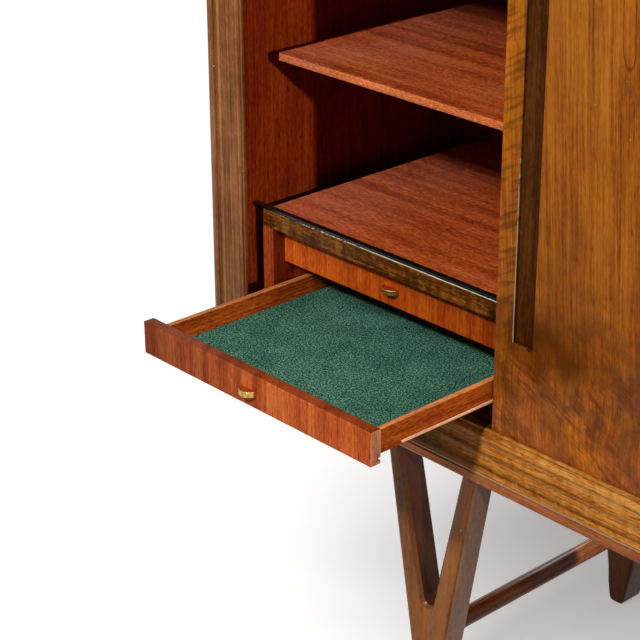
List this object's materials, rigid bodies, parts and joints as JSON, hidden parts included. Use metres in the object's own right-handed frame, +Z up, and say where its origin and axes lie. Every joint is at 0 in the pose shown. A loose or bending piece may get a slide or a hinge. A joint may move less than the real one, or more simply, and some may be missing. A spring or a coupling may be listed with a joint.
{
  "type": "credenza",
  "caption": "Long walnut cabinet on V-shaped legs, with sliding doors in a mitred moulding frame, shelves and baize-lined cutlery drawers inside.",
  "frame": {"origin": "on the floor, in the middle of the rectangle that the four feet stand on, under the middle of the case", "axes": "+X along the front, to the right as seen from the front; +Y from the front to the back; +Z up"},
  "size_m": [1.9, 0.6864, 1.187],
  "materials": {
    "walnut": "oiled and waxed, worn at the edges",
    "walnut_veneer": "glossy lacquered figured veneer",
    "dark_walnut": "dark stained",
    "mahogany": "satin, reddish",
    "ebonised": "black stained, satin",
    "beech": "bare, rubbed",
    "plywood": "matt",
    "baize": "woollen felt",
    "brass": "polished, slightly tarnished"
  },
  "bodies": {
    "case": {"back_left_leg": "walnut", "back_panel": "plywood", "back_right_leg": "walnut", "base_back_rail": "plywood", "base_board": "walnut", "case_bead": "ebonised", "case_guide_block": "mahogany", "case_left_side": "mahogany", "case_left_stile": "mahogany", "case_rail": "walnut", "case_right_side": "mahogany", "case_right_stile": "mahogany", "case_top": "mahogany", "centre_shelf": "mahogany", "floor_board": "mahogany", "front_left_leg": "walnut", "front_right_leg": "walnut", "left_bearer": "mahogany", "left_divider": "mahogany", "left_lining": "mahogany", "left_shelf": "mahogany", "left_side": "walnut", "left_stretcher": "walnut", "leg_dowels": "walnut", "lower_track": "walnut", "moulding_bottom": "walnut", "moulding_left": "walnut", "moulding_right": "walnut", "moulding_top": "walnut", "right_bearer": "mahogany", "right_divider": "mahogany", "right_lining": "mahogany", "right_shelf": "mahogany", "right_side": "walnut", "right_stretcher": "walnut", "top_board": "walnut", "upper_track": "walnut"},
    "left_door": {"left_door": "walnut_veneer", "left_door_pull": "dark_walnut"},
    "right_door": {"right_door": "walnut_veneer", "right_door_pull": "dark_walnut"},
    "lower_drawer": {"lower_drawer_back": "mahogany", "lower_drawer_bottom": "mahogany", "lower_drawer_front": "mahogany", "lower_drawer_left_side": "mahogany", "lower_drawer_left_slip": "beech", "lower_drawer_liner": "baize", "lower_drawer_right_side": "mahogany", "lower_drawer_right_slip": "beech", "lower_drawer_tab": "brass"},
    "upper_drawer": {"upper_drawer_back": "mahogany", "upper_drawer_bottom": "mahogany", "upper_drawer_front": "mahogany", "upper_drawer_left_side": "mahogany", "upper_drawer_left_slip": "beech", "upper_drawer_liner": "baize", "upper_drawer_right_side": "mahogany", "upper_drawer_right_slip": "beech", "upper_drawer_tab": "brass"}
  },
  "joints": [
    {"name": "left_door_slide", "type": "slide", "parent": "case", "child": "left_door", "axis": [1, 0, 0], "range_m": [0, 0.399]},
    {"name": "right_door_slide", "type": "slide", "parent": "case", "child": "right_door", "axis": [1, 0, 0], "range_m": [-0.399, 0]},
    {"name": "lower_drawer_slide", "type": "slide", "parent": "case", "child": "lower_drawer", "axis": [0, -1, 0], "range_m": [-0.2529, 0]},
    {"name": "upper_drawer_slide", "type": "slide", "parent": "case", "child": "upper_drawer", "axis": [0, -1, 0], "range_m": [0, 0.2529]}
  ]
}
